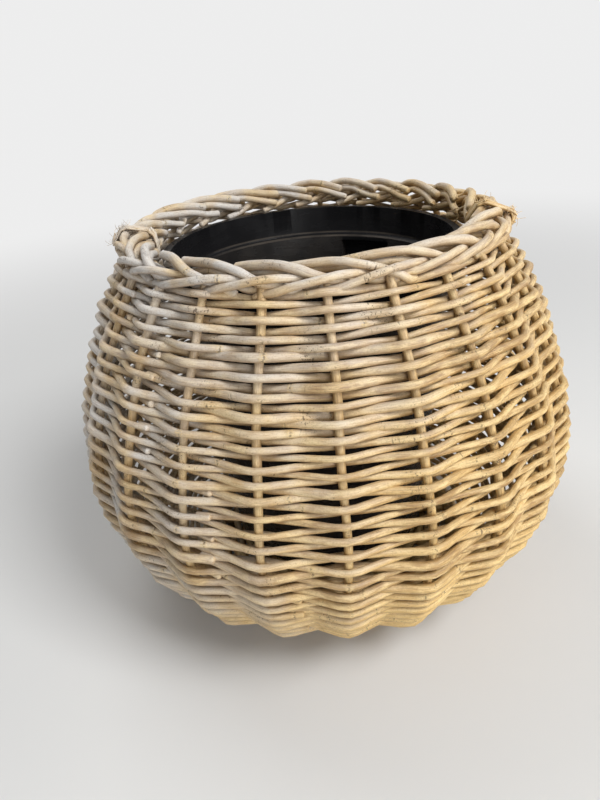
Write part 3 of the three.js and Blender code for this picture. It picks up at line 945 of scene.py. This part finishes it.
class PLANTER_OT_lashings(bpy.types.Operator):
    """Winds flat peel round the rim, with frayed ends"""

    bl_idname = "planter.lashings"
    bl_label = "Rim lashings"

    # Each lashing's node, its place counted in stakes, and its shift from there in degrees
    places = (("rim_lashing_right", 5.5, -10), ("rim_lashing_left", -5.5, 0))
    fibre_count = 16
    wisp_count = 44
    slant = 0.0045
    half_width = 0.006
    liner_clearance_radius = 0.1415
    direction_count = 96

    def execute(self, context):
        sizes = context.scene.planter_border
        stake_count = context.scene.planter_weave.stake_count
        chance = np.random.default_rng(31)
        for name, gap, shift in self.places:
            middle = stake_bearing(gap, stake_count, shift)
            round_way = self.snug_way(middle)
            rods = [self.fibre(sizes, middle, round_way, chance) for _ in range(self.fibre_count)]
            rods += [self.wisp(sizes, middle, round_way, chance) for _ in range(self.wisp_count)]
            if gap > 0:
                rods.append(self.hanging_fibre(middle))
            piece = bend_rods("bound_" + name, rods, 6)
            finish = cane("peel_cane", shade=1.15, wash=0.9, roughness=0.6)
            finish_piece(piece, finish, "rattan_peel", BASKET, name)
        return {"FINISHED"}

    def fibre(self, sizes, middle, round_way, chance):
        """One fibre of the peel, wound about twice round the border, with both ends left loose."""
        share = np.linspace(0, 1, 90)
        angle = FULL_TURN * chance.uniform(1.6, 2.3) * share + chance.uniform(0, FULL_TURN)
        loose = 0.0030 * (np.exp(-share / 0.03) + np.exp((share - 1) / 0.03))
        radius, height = round_way(angle, chance.uniform(0.0005, 0.0016) + loose)
        drift = chance.uniform(-0.0060, 0.0060) + chance.uniform(-0.0030, 0.0030) * (share - 0.5)
        bearing = middle + (drift - self.slant * np.cos(angle)) / sizes.radius
        points = points_at(bearing, np.clip(radius, self.liner_clearance_radius, None), height)
        thickness = chance.uniform(0.0006, 0.0011) * (1 + 0.15 * np.sin(30 * share))
        return points, thickness, float(chance.uniform(0.6, 1))

    def snug_way(self, middle):
        """The way that a strap takes, pulled tight round the border's rods at a bearing."""
        near = []
        for strand in range(3):
            mesh = bpy.data.objects[f"plaited_border_strand_{strand + 1}"].data
            place = read_vectors(mesh.vertices, "co")
            turned = np.arctan2(place[:, 0], -place[:, 1]) - middle
            turned = (turned + math.pi) % FULL_TURN - math.pi
            radius = np.hypot(place[:, 0], place[:, 1])
            section = np.stack([radius, place[:, 2]], axis=1)
            near.append(section[np.abs(turned) * radius < self.half_width])
        near = np.concatenate(near)
        angles = FULL_TURN * np.arange(self.direction_count + 1) / self.direction_count
        facing = np.stack([np.cos(angles), np.sin(angles)], axis=1)
        support = (near @ facing.T).max(axis=0)
        two_steps = 2 * FULL_TURN / self.direction_count
        slope = (np.roll(support[:-1], -1) - np.roll(support[:-1], 1)) / two_steps
        slope = np.append(slope, slope[0])
        across = np.stack([-facing[:, 1], facing[:, 0]], axis=1)
        way = facing * support[:, None] + across * slope[:, None]

        def at(angle, proud):
            turned = angle % FULL_TURN
            radius = np.interp(turned, angles, way[:, 0]) + proud * np.cos(turned)
            return radius, np.interp(turned, angles, way[:, 1]) + proud * np.sin(turned)

        return at

    def wisp(self, sizes, middle, round_way, chance):
        """A loose fibre that curls away from the lashing."""
        count = 12
        angle = chance.uniform(-0.2, 2.2)
        bearing = middle + (chance.uniform(-0.009, 0.009) - self.slant * math.cos(angle)) / sizes.radius
        start = np.array(round_way(angle, 0.001))
        steps = np.linspace(0, 1, count)
        length = chance.uniform(0.003, 0.012)
        curl = chance.uniform(-5, 5)
        heading = angle + chance.normal(0, 0.8) + curl * steps
        out = np.cumsum(np.cos(heading)) * length / count
        rise = np.cumsum(np.sin(heading)) * length / count
        side = np.cumsum(np.sin(curl * steps + chance.uniform(0, 6))) * length / count
        radius = np.clip(start[0] + out, self.liner_clearance_radius, None)
        points = points_at(bearing + side / sizes.radius, radius, start[1] + rise)
        return points, np.linspace(0.00028, 0.00012, count), float(chance.uniform(0.7, 1))

    @staticmethod
    def hanging_fibre(middle):
        """A twist of peel that hangs inside the rim."""
        steps = np.linspace(0, 1, 40)
        radius = 0.1434 + 0.0080 * np.exp(-steps / 0.08) + 0.0008 * np.cos(14 * steps)
        height = 0.3620 - 0.0210 * steps
        bearing = middle + 0.340 + 0.012 * np.sin(11 * steps) * steps
        return points_at(bearing, radius, height), np.linspace(0.0009, 0.0005, 40), 0.9


class PLANTER_OT_foot(bpy.types.Operator):
    """Bends the thick pole of the foot hoop"""

    bl_idname = "planter.foot"
    bl_label = "Foot hoop"

    hoop_radius = 0.14589
    hoop_height = 0.008
    pole_radius = 0.009
    out_of_round = 0.0003
    joint_bearing = math.radians(160)
    turn_share = 0.9985
    step_count = 145

    def execute(self, context):
        turn = np.linspace(0, FULL_TURN, self.step_count)
        radius = self.hoop_radius + self.out_of_round * np.sin(3 * turn)
        points = points_at(self.joint_bearing + turn * self.turn_share, radius, self.hoop_height)
        radii = np.full(self.step_count, self.pole_radius)
        piece = bend_rods("bent_foot_hoop", [(points, radii, 0.35)], 20)
        self.flatten_underside(piece)
        finish_piece(piece, cane("pole_cane", shade=0.88, wash=0.35), "base_rattan", BASKET, "foot_hoop")
        return {"FINISHED"}

    @staticmethod
    def flatten_underside(piece):
        """Brings what reaches below the floor up to it, as a flat face to stand on."""
        select_only(piece)
        bpy.ops.object.mode_set(mode="EDIT")
        bpy.ops.mesh.select_mode(type="VERT")
        bpy.ops.mesh.select_all(action="DESELECT")
        bpy.ops.object.mode_set(mode="OBJECT")
        for corner in piece.data.vertices:
            corner.select = corner.co.z < 0
        bpy.ops.object.mode_set(mode="EDIT")
        bpy.ops.transform.resize(value=(1, 1, 0), center_override=(0, 0, 0), orient_type="GLOBAL")
        bpy.ops.object.mode_set(mode="OBJECT")


class PLANTER_OT_base(bpy.types.Operator):
    """Weaves the base: crossed sticks opened as spokes, and paired rods round them"""

    bl_idname = "planter.base"
    bl_label = "Woven base"

    spoke_count = 12
    rod_radius = 0.0040
    row_pitch = 0.0087
    level = 0.0136
    cross_lift = 0.00415
    cross_half = 0.026
    fan_start = 0.046
    stick_end = 0.13659
    weave_start = 0.054
    hoop_inside = 0.13689
    hoop_gap = 0.0007
    weave_lift = 0.0086

    def execute(self, context):
        chance = random.Random(5)
        finish = cane("base_cane", shade=0.9, wash=0.4)
        for way in range(2):
            for index in range(3):
                name = f"base_stick_{way * 3 + index + 1}"
                points = self.stick(way, index - 1)
                radii = np.full(len(points), self.rod_radius)
                piece = bend_rods("straight_" + name, [(points, radii, 0.3 + 0.5 * chance.random())], 12)
                finish_piece(piece, finish, "base_rattan", BASKET, name)
        for which in range(2):
            name = f"base_weaver_{which + 1}"
            points, radii = self.rod(which)
            piece = bend_rods("woven_" + name, [(points, radii, 0.35 + 0.3 * which)], 12)
            finish_piece(piece, finish, "base_rattan", BASKET, name)
        return {"FINISHED"}

    def stick(self, way, place):
        """A stick's line, straight at the crossing and fanned out at both ends."""
        fan = FULL_TURN / self.spoke_count * place
        raised = -self.cross_lift if way == 0 else self.cross_lift
        half = [
            (self.cross_half, self.row_pitch * place, raised),
            (self.fan_start * math.cos(fan), self.fan_start * math.sin(fan), 0.0),
            (self.stick_end * math.cos(fan), self.stick_end * math.sin(fan), 0.0),
        ]
        flat = [(-x, y, z) for x, y, z in reversed(half)] + half
        corners = np.array(flat) + np.array([0, 0, self.level])
        if way == 1:
            corners = np.stack([-corners[:, 1], corners[:, 0], corners[:, 2]], axis=1)
        marks = np.arange(len(corners))
        at = np.linspace(0, len(corners) - 1, 61)
        points = np.stack([np.interp(at, marks, corners[:, axis]) for axis in range(3)], axis=1)
        return smoothed(points, 2)

    def rod(self, which):
        """One of the two rods that run round the spokes in turn, over one and under the next."""
        flat_share = math.cos(math.pi / self.spoke_count)
        pitch = 2 * self.row_pitch * (1 / flat_share)
        room = self.hoop_inside - self.rod_radius - self.hoop_gap - self.weave_start
        passes = math.floor((room / pitch - which / 2) * self.spoke_count)
        at = np.linspace(0, passes, passes * 8 + 1)
        radius = self.weave_start + pitch * (at / self.spoke_count + which / 2)
        chord = 1 - (1 - flat_share) * (0.5 - 0.5 * np.cos(FULL_TURN * at))
        side = np.cos(math.pi * (at + which))
        wave = 0.93 * side + 0.07 * np.cos(3 * math.pi * (at + which))
        bearing = FULL_TURN * at / self.spoke_count
        points = points_at(bearing, radius * chord, self.level + self.weave_lift * wave)
        return points, self.rod_radius * (1 + 0.03 * np.sin(at * 1.3))


class PLANTER_OT_liner(bpy.types.Operator):
    """Turns the plastic liner with its stepped rim and moulded pocket"""

    bl_idname = "planter.liner"
    bl_label = "Plastic liner"

    # The shell, and the hollow that is cut from it, as radius and height
    shell = [
        (0.0, 0.0272), (0.100, 0.0272), (0.106, 0.0332), (0.130, 0.3145), (0.1345, 0.3165),
        (0.135, 0.3180), (0.135, 0.344), (0.139, 0.344), (0.139, 0.349), (0.0, 0.349),
    ]
    hollow = [
        (0.0, 0.356), (0.132, 0.356), (0.132, 0.3215), (0.1312, 0.3196), (0.127, 0.3175),
        (0.103, 0.0332), (0.100, 0.0302), (0.0, 0.0302),
    ]
    spin_steps = 120

    def execute(self, context):
        body = self.turned("liner_shell", self.shell)
        boss = self.block("pocket_boss", middle=0.1185, half_depth=0.015, width=0.062, low=0.223, high=0.316)
        self.joined(body, boss, "UNION")
        self.joined(body, self.turned("liner_hollow", self.hollow), "DIFFERENCE")
        pocket = self.block(
            "pocket_hollow", middle=0.0655, half_depth=0.0655, width=0.056, low=0.226, high=0.313)
        self.joined(body, pocket, "DIFFERENCE")
        body.name = "moulded_liner"
        bevel = body.modifiers.new("soft_edges", "BEVEL")
        bevel.width = 0.0012
        bevel.segments = 3
        bevel.limit_method = "ANGLE"
        bevel.angle_limit = math.radians(24)
        select_only(body)
        bpy.ops.object.modifier_apply(modifier="soft_edges")
        bpy.ops.object.shade_smooth_by_angle(angle=math.radians(32))
        finish_piece(body, liner_plastic(context.scene.planter_liner), "liner_plastic", LINER, "liner")
        return {"FINISHED"}

    def turned(self, name, profile):
        """Spins a profile about the upright axis."""
        bpy.ops.object.select_all(action="DESELECT")
        bpy.ops.mesh.primitive_plane_add(size=0.1, location=(0, 0, 0))
        piece = bpy.context.object
        piece.name = name
        corners = [(radius, 0, height) for radius, height in profile]
        edges = [(number, number + 1) for number in range(len(profile) - 1)]
        piece.data.clear_geometry()
        piece.data.from_pydata(corners, edges, [])
        bpy.ops.object.mode_set(mode="EDIT")
        bpy.ops.mesh.select_all(action="SELECT")
        bpy.ops.mesh.spin(steps=self.spin_steps, angle=FULL_TURN, center=(0, 0, 0), axis=(0, 0, 1))
        bpy.ops.mesh.select_all(action="SELECT")
        bpy.ops.mesh.remove_doubles(threshold=0.00001)
        bpy.ops.mesh.select_all(action="SELECT")
        bpy.ops.mesh.normals_make_consistent(inside=False)
        bpy.ops.object.mode_set(mode="OBJECT")
        return piece

    @staticmethod
    def block(name, middle, half_depth, width, low, high):
        """An upright block whose outer face is square to the pocket's bearing."""
        bpy.ops.object.select_all(action="DESELECT")
        bpy.ops.mesh.primitive_cube_add(size=1, location=(0, 0, 0))
        piece = bpy.context.object
        piece.name = name
        size = Matrix.Diagonal((2 * half_depth, width, high - low, 1))
        move = Matrix.Translation((middle, 0, (low + high) / 2))
        turn = Matrix.Rotation(POCKET_BEARING - math.pi / 2, 4, "Z")
        piece.data.transform(turn @ move @ size)
        return piece

    @staticmethod
    def joined(body, other, operation):
        """Adds the other piece to the body, or cuts it away, and removes it."""
        select_only(body)
        step = body.modifiers.new("shape", "BOOLEAN")
        step.operation = operation
        step.solver = "EXACT"
        step.object = other
        bpy.ops.object.modifier_apply(modifier="shape")
        bpy.data.objects.remove(other)


class PLANTER_PT_panel(bpy.types.Panel):
    """Lists the planter's sizes, colours and steps"""

    bl_label = "Planter"
    bl_idname = "PLANTER_PT_panel"
    bl_space_type = "VIEW_3D"
    bl_region_type = "UI"
    bl_category = "Planter"

    def draw(self, context):
        for key, group in GROUPS.items():
            box = self.layout.box()
            for setting in group.__annotations__:
                box.prop(getattr(context.scene, key), setting)
        for operator in OPERATORS:
            self.layout.operator(operator.bl_idname)


GROUPS = {
    "planter_wall": WallSizes,
    "planter_weave": WeaveSizes,
    "planter_border": BorderSizes,
    "planter_cane": RattanColours,
    "planter_liner": LinerFinish,
    "planter_stage": StageSettings,
}
OPERATORS = (
    PLANTER_OT_stage,
    PLANTER_OT_stakes,
    PLANTER_OT_weave,
    PLANTER_OT_border,
    PLANTER_OT_lashings,
    PLANTER_OT_foot,
    PLANTER_OT_base,
    PLANTER_OT_liner,
)


def register():
    for group in GROUPS.values():
        bpy.utils.register_class(group)
    for operator in OPERATORS:
        bpy.utils.register_class(operator)
    bpy.utils.register_class(PLANTER_PT_panel)
    for key, group in GROUPS.items():
        setattr(bpy.types.Scene, key, PointerProperty(type=group))


def unregister():
    for key in GROUPS:
        delattr(bpy.types.Scene, key)
    bpy.utils.unregister_class(PLANTER_PT_panel)
    for operator in reversed(OPERATORS):
        bpy.utils.unregister_class(operator)
    for group in reversed(list(GROUPS.values())):
        bpy.utils.unregister_class(group)


def main():
    register()
    bpy.context.scene.view_settings.view_transform = "Standard"
    bpy.ops.planter.stage()
    bpy.ops.planter.stakes()
    bpy.ops.planter.weave()
    bpy.ops.planter.border()
    bpy.ops.planter.lashings()
    bpy.ops.planter.foot()
    bpy.ops.planter.base()
    bpy.ops.planter.liner()


if __name__ == "__main__":
    main()
